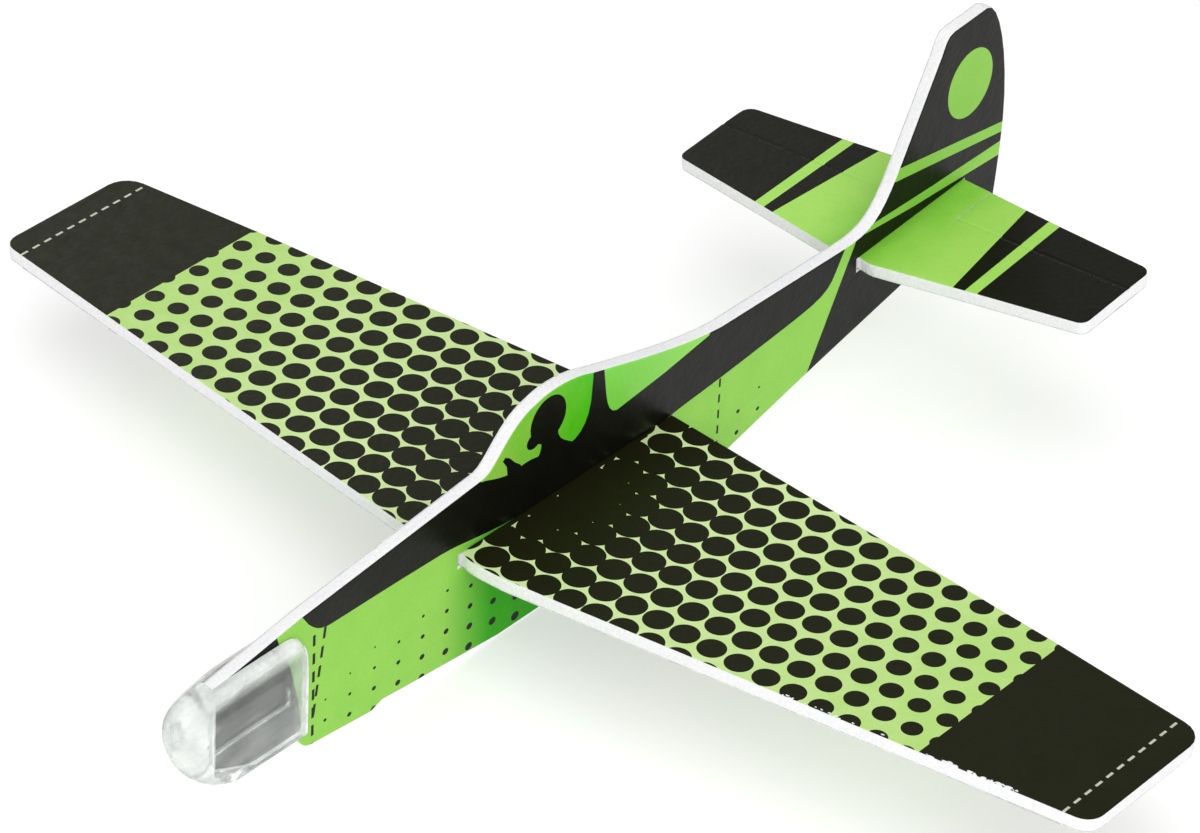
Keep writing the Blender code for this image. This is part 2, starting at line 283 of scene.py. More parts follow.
def finer(ring, step, levels=()):
    """The same ring with more points: one about every step, and one wherever v is a level."""
    points = []
    for a, b in zip(ring, ring[1:] + ring[:1]):
        a, b = Vector(a), Vector(b)
        count = max(1, round((b - a).length / step))
        shares = [index / count for index in range(count)]
        rise = b.y - a.y
        if abs(rise) > 1e-9:
            clear = CORNER_CLEAR / (b - a).length
            at_levels = [(level - a.y) / rise for level in levels]
            shares += [share for share in at_levels if clear < share < 1 - clear]
        last = None
        for share in sorted(shares):
            if last is None or (share - last) * (b - a).length > POINT_GAP:
                points.append(tuple(a.lerp(b, share)))
                last = share
    return points


# ------------------------------------------------------------------------------------------ sheets


def inside(ring, at):
    """Which of the points lie inside the ring."""
    ring = np.array(ring, float)
    low, high = ring.min(0), ring.max(0)
    near = np.flatnonzero(((at > low) & (at < high)).all(1))
    u, v = at[near, 0], at[near, 1]
    odd = np.zeros(len(near), bool)
    for a, b in zip(ring, np.roll(ring, -1, 0)):
        crosses = (a[1] > v) != (b[1] > v)
        if crosses.any():
            where = a[0] + (v - a[1]) * (b[0] - a[0]) / np.where(b[1] == a[1], 1, b[1] - a[1])
            odd ^= crosses & (u < where)
    found = np.zeros(len(at), bool)
    found[near[odd]] = True
    return found


def cut_sheet(rings, shapes, lines):
    """Triangles of a flat sheet, cut along its print: its points, triangles and ink per triangle.

    The first ring is its edge and the rest are holes. A shape is (outline, ink), and a later one is
    printed over an earlier one. A line only adds points along it.
    """
    points, edges = [], []
    for ring in [*rings, *(shape for shape, _ in shapes)]:
        first = len(points)
        points += [Vector(point) for point in ring]
        edges += [(first + i, first + (i + 1) % len(ring)) for i in range(len(ring))]
    for line in lines:
        first = len(points)
        points += [Vector(point) for point in line]
        edges += [(first + i, first + i + 1) for i in range(len(line) - 1)]
    found, _, triangles, *_ = delaunay_2d_cdt(points, edges, [], 0, WELD)
    at = np.array([tuple(point) for point in found])
    triangles = np.array(triangles)
    centres = at[triangles].mean(1)
    kept = inside(rings[0], centres)
    for hole in rings[1:]:
        kept &= ~inside(hole, centres)
    triangles, centres = triangles[kept], centres[kept]
    ink = np.zeros(len(triangles), int)
    for shape, colour in shapes:
        ink[inside(shape, centres)] = colour
    return at, triangles, ink


def edge_pairs(triangles):
    """The directed edges that only one triangle uses, which run round the sheet's border."""
    used = set()
    for a, b, c in triangles.tolist():
        used.update(((a, b), (b, c), (c, a)))
    return [(a, b) for a, b in used if (b, a) not in used]


def add_mesh(name, vertices, faces, looks, ink=None):
    """A new object in the scene, with an ink number per face where it has more than one look."""
    mesh = bpy.data.meshes.new(name)
    mesh.from_pydata(vertices, [], faces)
    for look in looks:
        mesh.materials.append(look)
    if ink is not None:
        mesh.polygons.foreach_set("material_index", np.array(ink, np.int32))
    mesh.validate()
    mesh.update()
    made = bpy.data.objects.new(name, mesh)
    bpy.context.scene.collection.objects.link(made)
    return made


def dent(v, crease):
    """How deep the pressed crease is at a distance aft of its middle."""
    if not crease or abs(v) >= CREASE_REACH:
        return 0.0
    return CREASE_DEPTH * (0.5 + 0.5 * math.cos(math.pi * v / CREASE_REACH))


def flush(plane, u, v):
    """True on the tailplane's inner cuts: both sides of the crease, and of the slit at its end."""
    return plane is TAIL and (abs(v) < AT_CREASE_V or (v > 0 and abs(u) < AT_SLIT_U))


def add_film(name, plane, side, rings, shapes, looks, crease=False):
    """One printed film on one side of a sheet, its cut edge pressed down a little."""
    lines = []
    for ring, inwards in [(rings[0], 1)] + [(hole, -1) for hole in rings[1:]]:
        border = inset(ring, inwards * FILM_EDGE_WIDTH)
        lines.append(border + border[:1])
    if crease:
        low = min(u for u, _ in rings[0]) - 1
        high = max(u for u, _ in rings[0]) + 1
        lines += [[(low, v), (high, v)] for v in CREASE_ROWS[1:]]
    at, triangles, ink = cut_sheet(rings, shapes, lines)
    border = edge_pairs(triangles)
    edge = {index for pair in border for index in pair}
    drops = [
        (FILM_EDGE_DROP if i in edge and not flush(plane, *p) else 0.0) + dent(p[1], crease)
        for i, p in enumerate(at)
    ]
    outer = [plane.place(*p, side * (SHEET_HALF - d)) for p, d in zip(at, drops)]
    inner = [plane.place(*p, side * (SHEET_HALF - FILM - d)) for p, d in zip(at, drops)]
    count = len(at)
    faces, colours = [], []
    for (a, b, c), colour in zip(triangles.tolist(), ink.tolist()):
        faces += [(a, b, c), (a + count, c + count, b + count)]
        colours += [colour, colour]
    for a, b in border:
        faces.append((b, a, a + count, b + count))
        colours.append(BARE)
    if side < 0:
        faces = [face[::-1] for face in faces]
    made = add_mesh(name, outer + inner, faces, looks, colours)
    loose_ends(made)
    return made


def loose_ends(made):
    """Removes points that no face uses."""
    used = {index for polygon in made.data.polygons for index in polygon.vertices}
    if len(used) == len(made.data.vertices):
        return
    shape = bmesh.new()
    shape.from_mesh(made.data)
    for vertex in [v for v in shape.verts if not v.link_faces]:
        shape.verts.remove(vertex)
    shape.to_mesh(made.data)
    shape.free()


def cell_bump(point):
    """A small in and out of the cut foam, in millimetres, from its cells."""
    coarse = noise(Vector(point) * 900)
    fine = noise(Vector(point) * 3100 + Vector((7, 3, 1)))
    return 0.018 * coarse + 0.02 * fine


def foam_wall(plane, ring, inwards, crease):
    """Rows of points down the foam's cut edge, uneven between the first row and the last."""
    profile = [*CUT_PROFILE, *((-share, back) for share, back in reversed(CUT_PROFILE))]
    rows = []
    for share, back in profile:
        row = []
        for point in inset(ring, inwards * back):
            half = CORE_HALF - dent(point[1], crease)
            row.append(plane.place(*point, share * half))
        rows.append(row)
    normals = [Vector(b) - Vector(a) for a, b in zip(ring, inset(ring, inwards))]
    for row in rows[1:-1]:
        for i, (at, normal) in enumerate(zip(row, normals)):
            row[i] = at + (plane.u * normal.x + plane.v * normal.y) * cell_bump(at) * MM
    return rows


def add_foam(name, plane, rings, look, crease=False):
    """A foam core with a die-cut edge: eased corners and a slightly uneven wall."""
    levels = CREASE_ROWS if crease else ()
    rings = [finer(ring, FOAM_STEP, levels) for ring in rings]
    vertices, faces, caps = [], [], []
    for ring, inwards in [(rings[0], 1)] + [(hole, -1) for hole in rings[1:]]:
        rows = foam_wall(plane, ring, inwards, crease)
        first = len(vertices)
        width = len(ring)
        for number, row in enumerate(rows):
            vertices += row
            if number == len(rows) - 1:
                break
            for i in range(width):
                a = first + number * width + i
                b = first + number * width + (i + 1) % width
                quad = (a, a + width, b + width, b)
                faces.append(quad if inwards > 0 else quad[::-1])
        _, back = CUT_PROFILE[0]
        caps.append((inset(ring, inwards * back), first, first + (len(rows) - 1) * width))
    lines = []
    if crease:
        low = min(u for u, _ in rings[0]) + CREASE_END_GAP
        high = max(u for u, _ in rings[0]) - CREASE_END_GAP
        lines = [[(low, v), (high, v)] for v in CREASE_ROWS[1:]]
    at, triangles, _ = cut_sheet([cap[0] for cap in caps], (), lines)
    known = {}
    for ring, top, bottom in caps:
        for i, point in enumerate(ring):
            known[(round(point[0], 4), round(point[1], 4))] = (top + i, bottom + i)
    tops, bottoms = [], []
    for point in at:
        key = (round(point[0], 4), round(point[1], 4))
        if key not in known:
            half = CORE_HALF - dent(point[1], crease)
            known[key] = (len(vertices), len(vertices) + 1)
            vertices += [plane.place(*point, half), plane.place(*point, -half)]
        tops.append(known[key][0])
        bottoms.append(known[key][1])
    for a, b, c in triangles.tolist():
        faces += [(tops[a], tops[b], tops[c]), (bottoms[a], bottoms[c], bottoms[b])]
    made = add_mesh(name, vertices, faces, [look])
    made.data.shade_smooth()
    made.data.set_sharp_from_angle(angle=math.radians(50))
    loose_ends(made)
    return made


# --------------------------------------------------------------------------------------- materials


class Nodes:
    """Short calls for building a material's node tree."""

    def __init__(self, name):
        self.material = bpy.data.materials.new(name)
        self.material.use_nodes = True
        self.tree = self.material.node_tree
        self.shader = self.tree.nodes["Principled BSDF"]
        self.place = self.add("ShaderNodeTexCoord").outputs["Object"]

    def add(self, kind, **settings):
        node = self.tree.nodes.new(kind)
        for key, value in settings.items():
            setattr(node, key, value)
        return node

    def link(self, source, socket):
        self.tree.links.new(source, socket)

    def fit(self, node, socket, value):
        """Links the value into the socket, or sets it there if it is a constant."""
        if hasattr(value, "is_linked"):
            self.link(value, node.inputs[socket])
        else:
            node.inputs[socket].default_value = value

    def noise(self, scale, detail=2.0, roughness=0.5):
        node = self.add("ShaderNodeTexNoise")
        self.link(self.place, node.inputs["Vector"])
        node.inputs["Scale"].default_value = scale
        node.inputs["Detail"].default_value = detail
        node.inputs["Roughness"].default_value = roughness
        return node.outputs["Fac"]

    def drift(self, low, high):
        """A slow change over a few millimetres."""
        return self.remap(self.noise(DRIFT_SCALE, 4.0, 0.6), 0.3, 0.7, low, high)

    def speckle(self, low, high):
        """A fine change over tenths of a millimetre."""
        return self.remap(self.noise(SPECKLE_SCALE, 2.0, 0.6), 0.35, 0.65, low, high)

    def axes(self):
        """The place in the frame, as outputs X, Y and Z."""
        split = self.add("ShaderNodeSeparateXYZ")
        self.link(self.place, split.inputs["Vector"])
        return split.outputs

    def cells(self, scale, feature="F1"):
        node = self.add("ShaderNodeTexVoronoi", feature=feature)
        self.link(self.place, node.inputs["Vector"])
        node.inputs["Scale"].default_value = scale
        return node.outputs["Distance"]

    def remap(self, value, low, high, out_low, out_high):
        node = self.add("ShaderNodeMapRange")
        self.fit(node, "Value", value)
        node.inputs["From Min"].default_value = low
        node.inputs["From Max"].default_value = high
        node.inputs["To Min"].default_value = out_low
        node.inputs["To Max"].default_value = out_high
        return node.outputs["Result"]

    def math(self, operation, first, second=0.0):
        node = self.add("ShaderNodeMath", operation=operation)
        self.fit(node, 0, first)
        self.fit(node, 1, second)
        return node.outputs[0]

    def mix(self, share, first, second):
        node = self.add("ShaderNodeMix", data_type="RGBA")
        self.fit(node, 0, share)
        for socket, value in ((6, first), (7, second)):
            if hasattr(value, "is_linked"):
                self.link(value, node.inputs[socket])
            else:
                node.inputs[socket].default_value = (*value, 1.0)
        return node.outputs[2]

    def greatest(self, *values):
        most, *others = values
        for value in others:
            most = self.math("MAXIMUM", most, value)
        return most

    def bump(self, height, distance, strength):
        node = self.add("ShaderNodeBump")
        self.link(height, node.inputs["Height"])
        node.inputs["Distance"].default_value = distance
        node.inputs["Strength"].default_value = strength
        self.link(node.outputs["Normal"], self.shader.inputs["Normal"])

    def set(self, **values):
        for key, value in values.items():
            self.fit(self.shader, key.replace("_", " "), value)


def film_relief(nodes, strength=0.7):
    """The film's surface: the foam's cells show through it as a fine uneven gloss."""
    cells = nodes.cells(1150, "SMOOTH_F1")
    grain = nodes.noise(5200, 2.0)
    waves = nodes.noise(160, 3.0)
    height = nodes.math("ADD", nodes.math("MULTIPLY", cells, 0.7), nodes.math("MULTIPLY", grain, 0.3))
    height = nodes.math("ADD", height, nodes.math("MULTIPLY", waves, 0.6))
    nodes.bump(height, 0.00009, strength)
    nodes.set(Roughness=nodes.remap(nodes.noise(420, 3.0), 0.3, 0.7, *FILM_ROUGHNESS))


def ink_material(name, colour, other, specular=0.27, strength=0.7):
    """A printed ink that drifts slightly between two shades, on the film's uneven gloss."""
    nodes = Nodes(name)
    drifting = nodes.mix(nodes.drift(0.0, 1.0), colour, other)
    nodes.set(Base_Color=nodes.mix(nodes.speckle(0.0, 0.25), drifting, other))
    nodes.set(Specular_IOR_Level=specular)
    film_relief(nodes, strength)
    return nodes.material


def graded_ink_and_painted_shade(name, axis, low, high, colour, other):
    """Ink that runs between two colours both ways along an axis, in metres; on the tail it is painted
    shade.
    """
    nodes = Nodes(name)
    away = nodes.math("ABSOLUTE", nodes.axes()[axis])
    share = nodes.remap(away, low, high, 0.0, 1.0)
    uneven = nodes.math("ADD", nodes.drift(-0.18, 0.18), nodes.speckle(-0.1, 0.1))
    nodes.set(Base_Color=nodes.mix(nodes.math("ADD", share, uneven), colour, other))
    nodes.set(Specular_IOR_Level=0.2)
    film_relief(nodes)
    return nodes.material


def painted_root_shade_ink(name, colour, deep):
    """The fuselage's green with painted shade: a deeper green where the side runs in under the wing.
    """
    nodes = Nodes(name)
    axes = nodes.axes()
    # Painted shade: a mask on the side below the wing, between its leading and trailing edges
    front = nodes.remap(axes["Y"], -0.034, -0.024, 0.0, 1.0)
    rear = nodes.remap(axes["Y"], 0.0, 0.014, 1.0, 0.0)
    below = nodes.remap(axes["Z"], 0.0165, 0.0195, 1.0, 0.0)
    shade = nodes.math("MULTIPLY", nodes.math("MULTIPLY", front, rear), below)
    uneven = nodes.math("ADD", nodes.drift(0.0, 0.12), nodes.speckle(0.0, 0.08))
    nodes.set(Base_Color=nodes.mix(nodes.greatest(shade, uneven), colour, deep))
    nodes.set(Specular_IOR_Level=0.1)
    film_relief(nodes)
    return nodes.material


def foam_material():
    """Expanded foam seen at its cut edge: closed beads with fine darker joints."""
    nodes = Nodes("foam")
    beads = nodes.cells(2300)
    fine = nodes.noise(6000, 3.0, 0.6)
    joint = nodes.remap(beads, 0.25, 0.75, 0.0, 1.0)
    tint = nodes.remap(nodes.noise(180, 3.0), 0.3, 0.7, 0.0, 1.0)
    white = nodes.mix(tint, (0.95, 0.95, 0.94), (0.91, 0.91, 0.93))
    nodes.set(Base_Color=nodes.mix(nodes.math("MULTIPLY", joint, 0.3), white, (0.74, 0.74, 0.77)))
    nodes.set(Roughness=nodes.remap(fine, 0.3, 0.7, 0.55, 0.75), Specular_IOR_Level=0.3)
    height = nodes.math("SUBTRACT", nodes.math("MULTIPLY", fine, 0.4), beads)
    nodes.bump(height, 0.00009, 0.7)
    return nodes.material


def cap_milk(nodes):
    """How milky the cap's plastic is: 0 is clear, and its windows are the clearest."""
    axes = nodes.axes()
    y, z = axes["Y"], axes["Z"]
    window = nodes.remap(z, 0.0165, 0.008, 0.03, 0.17)
    top = nodes.remap(z, 0.0172, 0.0197, 0.0, 0.62)
    rim = nodes.remap(nodes.math("ABSOLUTE", axes["X"]), 0.00172, 0.0021, 0.0, 0.42)
    bulb = nodes.remap(y, -0.0765, -0.0758, 0.42, 0.0)
    rear_wall = nodes.remap(y, -0.0622, -0.0605, 0.0, 0.22)
    rear_edge = nodes.remap(y, -0.0595, -0.0592, 0.0, 0.6)
    off_rib = nodes.math("ABSOLUTE", nodes.math("SUBTRACT", z, CAP_RIB_Z * MM))
    rib = nodes.remap(off_rib, 0.0001, 0.0003, 0.36, 0.0)
    return nodes.greatest(window, top, rim, bulb, nodes.math("ADD", rear_wall, rear_edge), rib)


def flow_streaks(nodes):
    """Marks drawn out along the cap, as the plastic flowed in its mould."""
    stretch = nodes.add("ShaderNodeMapping")
    nodes.link(nodes.place, stretch.inputs["Vector"])
    stretch.inputs["Scale"].default_value = (1.0, 0.12, 1.0)
    streaks = nodes.add("ShaderNodeTexNoise")
    nodes.link(stretch.outputs["Vector"], streaks.inputs["Vector"])
    streaks.inputs["Scale"].default_value = 620.0
    return streaks.outputs["Fac"]


def pass_shadow_rays(nodes, colour):
    """Lets light through to what is behind, tinted by the colour."""
    path = nodes.add("ShaderNodeLightPath")
    through = nodes.add("ShaderNodeBsdfTransparent")
    through.inputs["Color"].default_value = (*colour, 1.0)
    both = nodes.add("ShaderNodeMixShader")
    nodes.link(path.outputs["Is Shadow Ray"], both.inputs["Fac"])
    nodes.link(nodes.shader.outputs["BSDF"], both.inputs[1])
    nodes.link(through.outputs["BSDF"], both.inputs[2])
    nodes.link(both.outputs["Shader"], nodes.tree.nodes["Material Output"].inputs["Surface"])


def clear_material():
    """Clear moulded plastic: milky in its bulb, top, rims and rib, with faint flow marks."""
    nodes = Nodes("clear_plastic")
    flow = nodes.noise(260, 3.0)
    swirl = nodes.noise(520, 2.0, 0.6)
    marks = nodes.math("MULTIPLY", flow_streaks(nodes), 0.5)
    uneven = nodes.math("ADD", nodes.math("MULTIPLY", swirl, 0.5), marks)
    milk = nodes.math("MULTIPLY", cap_milk(nodes), nodes.remap(uneven, 0.35, 0.65, 0.5, 1.42))
    nodes.set(Transmission_Weight=nodes.math("SUBTRACT", 1.0, milk))
    tint = nodes.remap(flow, 0.37, 0.63, 0.0, 1.0)
    nodes.set(Base_Color=nodes.mix(tint, (0.93, 0.95, 0.93), (0.7, 0.73, 0.71)))
    nodes.set(IOR=1.46, Roughness=nodes.remap(flow, 0.35, 0.65, 0.08, 0.18))
    nodes.bump(nodes.math("ADD", flow, nodes.math("MULTIPLY", swirl, 0.4)), 0.0001, 0.4)
    pass_shadow_rays(nodes, (0.82, 0.84, 0.83))
    return nodes.material


body_black = ink_material(
    "ink_black_body", (0.0042, 0.0046, 0.0026), (0.006, 0.0064, 0.004), specular=0.126, strength=0.4
)
wing_black = ink_material(
    "ink_black_wing", (0.0118, 0.0127, 0.0034), (0.014, 0.015, 0.0046), specular=0.09, strength=0.5
)
tail_black = ink_material(
    "ink_black_tail", (0.006, 0.0063, 0.0028), (0.0075, 0.0078, 0.0035), specular=0.115, strength=0.5
)
cream = ink_material("ink_cream", (0.62, 0.62, 0.47), (0.55, 0.55, 0.42))
# The fuselage's green carries painted shade on the side under the wing
body_green_painted_shade = painted_root_shade_ink("ink_green_body_painted_shade", (0.315, 0.65, 0.095), (0.035, 0.40, 0.002))
# The tailplane's green is deeper beside the fin: painted shade from the fin
tail_green_painted_shade = graded_ink_and_painted_shade("ink_green_tail_painted_shade", "X", 0.001, 0.010, (0.26, 0.68, 0.06), (0.41, 0.78, 0.13))
wing_green = graded_ink_and_painted_shade("ink_green_wing", "X", 0.012, 0.066, (0.70, 0.86, 0.43), (0.47, 0.74, 0.20))
window_green = graded_ink_and_painted_shade(
    "ink_green_window", "Y", 0.006, 0.022, (0.08, 0.66, 0.004), (0.30, 0.66, 0.07)
)
pane_green = graded_ink_and_painted_shade("ink_green_pane", "Y", 0.0, 0.012, (0.24, 0.80, 0.07), (0.30, 0.78, 0.11))
foam = foam_material()
clear = clear_material()

BODY_LOOKS = [body_green_painted_shade, body_black, cream, window_green, pane_green, foam]
WING_LOOKS = [wing_green, wing_black, cream, window_green, pane_green, foam]
TAIL_LOOKS = [tail_green_painted_shade, tail_black, cream, window_green, pane_green, foam]


# ---------------------------------------------------------------------------------- fuselage print


def fuselage_print():
    """The fuselage's print as (y, z), the same on both faces."""
    return [
        *nose_black(), *spine_black(), *canopy_windows(), *pilot(), *fin_print(),
        *fold_dashes(), *body_specks(),
    ]


def nose_black():
    """The black tongue in the nose cap, and its wedge along the top edge."""
    front = [(-90.0, 0.0), (-90.0, 30.0)]
    rear = [(-63.8, 30.0), (-63.75, 22.7), (-63.2, 21.1), (-62.3, 19.0), (-61.4, 16.6)]
    rear += [(-60.0, 11.0), (-59.2, 7.0), (-59.9, 0.0)]
    return [(front + rear, BLACK)]


def spine_black():
    """The long stripe behind the nose that widens over the wing and runs on along the boom."""
    front = [(-59.6, 45.0), (-59.3, 23.3), (-58.1, 21.5)]
    shape = front + bezier(front[-1], (-57.0, 20.3), (-56.0, 19.35), (-54.0, 19.3), 6)
    shape += [(-42.2, 19.12), (-33.6, 18.88)]
    shape += bezier(shape[-1], (-29.0, 18.6), (-25.5, 17.35), (-16.4, 16.85), 8)
    shape += [(-4.0, 16.4), (9.2, 16.85), (11.6, 17.3), (14.0, 17.55), (20.0, 18.0)]
    shape += [(26.0, 18.55), (35.0, 19.45)]
    shape += bezier(shape[-1], (42.2, 20.2), (43.9, 20.6), (45.3, 23.3), 6)
    shape += [(47.0, 26.2), (47.4, 45.0)]
    return [(shape, BLACK)]


def canopy_windows():
    """The green of the canopy, ahead of its frame bar and behind it."""
    front = [(-26.6, 40.0), (-26.6, 26.2)]
    front += bezier(front[-1], (-24.9, 25.9), (-23.5, 24.8), (-20.4, 24.5), 6)
    front += bezier(front[-1], (-17.5, 25.1), (-15.6, 24.6), (-14.0, 23.9), 6)
    front += bezier(front[-1], (-9.5, 22.6), (-6.2, 22.9), (-5.5, 28.0), 8)
    front += [(-5.3, 32.0), (-5.3, 40.0)]
    rear = [(-3.3, 40.0), (-3.15, 31.4)]
    rear += bezier(rear[-1], (-2.4, 27.6), (-2.5, 23.0), (1.0, 23.95), 8)
    rear += [(9.4, 24.85), (18.2, 26.25), (20.5, 28.0), (20.5, 40.0)]
    return [(front, WINDOW), (rear, PANE)]


def pilot():
    """A plain helmeted figure and the top of an instrument panel, in outline."""
    helmet = ellipse(-13.9, 29.3, 3.45, 3.4, 30)
    mask = ellipse(-16.6, 27.3, 1.35, 1.15, 16)
    chest = [(-15.4, 27.0)]
    chest += bezier(chest[-1], (-14.6, 25.4), (-15.2, 24.3), (-17.6, 22.6), 6)
    chest += [(-8.0, 22.6)]
    chest += bezier(chest[-1], (-9.8, 24.4), (-12.0, 24.6), (-11.9, 27.2), 6)
    panel = [(-21.4, 24.0), (-21.7, 26.0), (-22.5, 27.2), (-22.1, 27.6), (-21.2, 27.1)]
    panel += [(-20.1, 25.9), (-19.0, 25.0), (-18.6, 24.0)]
    return [(shape, BLACK) for shape in (helmet, mask, chest, panel)]


def fin_print():
    """Black aft of a slanted green stripe, with two green stripes and a disc on the fin."""
    aft = [(49.6, 45.0), (49.3, 26.2), (39.95, 8.4), (39.6, 0.0)]
    aft += [(90.0, 0.0), (90.0, 60.0), (50.0, 60.0)]
    upper = [(56.8, 31.9), (81.9, 29.0), (81.9, 30.6), (57.6, 33.7), (50.0, 34.6), (50.0, 32.8)]
    lower = [(50.0, 26.5), (62.0, 25.85), (66.0, 25.78), (81.9, 25.4)]
    lower += [(81.9, 27.6), (77.0, 27.5), (71.0, 27.42), (66.0, 27.3), (50.0, 27.3)]
    disc = ellipse(72.62, 40.5, 4.93, 5.2, 44)
    return [(aft, BLACK), (upper, GREEN), (lower, GREEN), (disc, GREEN)]


def fold_dashes():
    """Two dashed lines that meet behind the nose cap, and one behind the wing."""
    bars = dashes((-56.95, 19.2), (-57.0, 2.2), 1.65, 2.75, 0.48)
    bars += dashes((-54.95, 19.4), (-56.7, 8.2), 1.65, 2.75, 0.48)
    bars += dashes((21.3, 18.0), (21.5, 6.0), 1.35, 2.5, 0.4)
    return [(bar, BLACK) for bar in bars]


def body_specks():
    """Small printed dots that grow downwards and towards the wing, and a few behind it."""
    shapes = []
    for column in range(9):
        y = -54.7 + 4.49 * column
        for row in range(6):
            z = 1.75 - 0.06 * column + 3.18 * row + (1.59 if column % 2 else 0.0)
            radius = 0.58 + 0.01 * (y + 36.8) - 0.033 * (z - 1.5)
            if radius > 0.1 and z < 16.5 - 0.16 * (-15.0 - y):
                shapes.append((ellipse(y, z, radius, radius * 0.85, 14), BLACK))
    for y, z, radius in ((25.7, 10.6, 0.36), (25.7, 7.2, 0.42), (30.0, 12.3, 0.22), (30.0, 8.9, 0.34)):
        shapes.append((ellipse(y, z, radius, radius * 0.85, 14), BLACK))
    return shapes


# -------------------------------------------------------------------------------------- wing print


def dot_size(u, v):
    """The radius of the dot with this centre."""
    away = math.hypot(u, DOT_STRETCH_V * (v - DOT_CENTRE_V))
    return float(np.interp(away, [a for a, _ in DOT_SIZES], [size for _, size in DOT_SIZES]))


def wing_half(side, anchor, tip_u):
    """One half's dots, from one dot's centre, and the black tip outboard of tip_u with its dashes."""
    shapes = []
    for row in range(-9, 6):
        v = anchor[1] + row * DOT_PITCH
        shift = DOT_PITCH / 2 if row % 2 else 0.0
        for column in range(-20, 20):
            u = anchor[0] + shift + column * DOT_PITCH
            if 0.0 <= u < tip_u + 1.5 and -33.0 < v < 14.0:
                size = dot_size(u, v)
                shapes.append((ellipse(side * u, v, size, size, 30), BLACK))
    ends = sorted((side * tip_u, side * 99.0))
    shapes.append(([(ends[0], -40.0), (ends[1], -40.0), (ends[1], 20.0), (ends[0], 20.0)], BLACK))
    dash_u = side * TIP_DASH_U
    shapes += [(bar, CREAM) for bar in dashes((dash_u, -19.6), (dash_u, 4.2), 1.25, 2.2, 0.36)]
    return shapes


def wing_print():
    """Dots over both halves and black across the root, where the largest dots leave no green."""
    root = [(-1.6, -25.0), (1.6, -25.0), (1.6, 6.0), (-1.6, 6.0)]
    port = wing_half(1, DOT_ANCHOR_PORT, TIP_PORT_U)
    starboard = wing_half(-1, DOT_ANCHOR_STARBOARD, TIP_STARBOARD_U)
    return [(root, BLACK), *port, *starboard]


def edge_chips(rings):
    """Specks of bare foam where the film was torn along the leading edge near the port tip."""
    random.seed(11)
    port_front = [
        (a, b) for a, b in zip(rings[0], rings[0][1:] + rings[0][:1])
        if min(a[0], b[0]) > 15.0 and max(a[0], b[0]) < 87.0 and max(a[1], b[1]) < -15.0
    ]
    start, end = sorted(max(port_front, key=lambda pair: abs(pair[0][0] - pair[1][0])))
    chips = []
    for low, high, count, most in TORN_PATCHES:
        for _ in range(count):
            u = random.uniform(low, high)
            share = (u - start[0]) / (end[0] - start[0])
            v = start[1] + (end[1] - start[1]) * share
            size = random.uniform(0.12, most)
            turns = [2 * math.pi * i / 7 for i in range(7)]
            reach = [size * random.uniform(0.5, 1.0) for _ in turns]
            rise = random.uniform(-0.1, 0.35)
            ring = [
                (u + 1.3 * r * math.cos(t), v + rise + 0.75 * r * math.sin(t))
                for r, t in zip(reach, turns)
            ]
            chips.append((ring, BARE))
    return chips


# -------------------------------------------------------------------------------------- tail print


def tail_print():
    """Black ends, a green stripe and a slanted black stripe on each half; v = 0 is the crease."""
    shapes = []
    for side in (1, -1):
        stripe = [(15.7, -17.0), (17.0, -17.0), (16.4, 9.5), (12.1, 9.5)]
        end = [(18.75, -17.0), (40.0, -17.0), (40.0, 9.5), (18.3, 9.5)]
        for shape in (stripe, end):
            shapes.append(([(side * u, v) for u, v in shape], BLACK))
    return shapes


# ------------------------------------------------------------------------------------------ pieces


def add_laminate(body, plane, looks, films):
    """The foam of one flat piece and its films, given as (node, side, printed shapes)."""
    for node, side, shapes in films:
        label = "outer" if side > 0 else "inner"
        rings = outlines(node, plane, side)
        film = add_film(f"{body}_{label}_film", plane, side, rings, shapes, looks)
        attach(film, body)
        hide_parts(node)
    core = f"{body}_core"
    made = add_foam(f"{body}_foam", plane, outlines(core, plane, 1), foam)
    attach(made, body)
    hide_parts(core)


def build_fuselage():
    shapes = fuselage_print()
    films = (("fuselage_print_port", 1, shapes), ("fuselage_print_starboard", -1, shapes))
    add_laminate("fuselage", FUSELAGE, BODY_LOOKS, films)


def build_wing():
    shapes = wing_print()
    torn = shapes + edge_chips(outlines("wing_print_top", WING, 1))
    films = (("wing_print_top", 1, torn), ("wing_print_bottom", -1, shapes))
    add_laminate("wing", WING, WING_LOOKS, films)


def reach_forward(rings, front):
    """A flap's outline, its front carried across the crease and its inner end close to the tab."""
    moved = []
    for u, v in rings[0]:
        if abs(u) < AT_SLIT_U:
            u = math.copysign(SLIT_U, u)
        moved.append((u, front if v < AT_CREASE_V else v))
    return [moved]


def build_tail():
    """The tailplane, and its flaps with the creases that they bend on."""
    shapes = tail_print()
    films = (("tailplane_print_top", 1, shapes), ("tailplane_print_bottom", -1, shapes))
    add_laminate("tailplane", TAIL, TAIL_LOOKS, films)
    start = TAIL.place(0, -CREASE_REACH, 0)
    end = TAIL.place(0, CREASE_REACH, 0)
    for label in ("port", "starboard"):
        body = f"elevator_{label}"
        for level, side in (("top", 1), ("bottom", -1)):
            node = f"{body}_print_{level}"
            rings = reach_forward(outlines(node, TAIL, side), -FILM_REACH)
            film = add_film(
                f"{body}_{level}_film", TAIL, side, rings, shapes, TAIL_LOOKS, crease=True
            )
            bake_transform(film)
            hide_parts(node)
        rings = reach_forward(outlines(f"{body}_core", TAIL, 1), -CREASE_REACH)
        core = add_foam(f"{body}_foam", TAIL, rings, foam, crease=True)
        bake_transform(core)
        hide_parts(f"{body}_core", f"elevator_hinge_{label}")


def cap_outline():
    """The cap's side profile as (y, z), round its CAD node."""
    points = [Vector(FUSELAGE.read(v.co)[:2]) for v in frame["nodes"]["nose_cap"].data.vertices]
    ring = [tuple(points[index]) for index in convex_hull_2d(points)]
    return ring if area(ring) > 0 else ring[::-1]


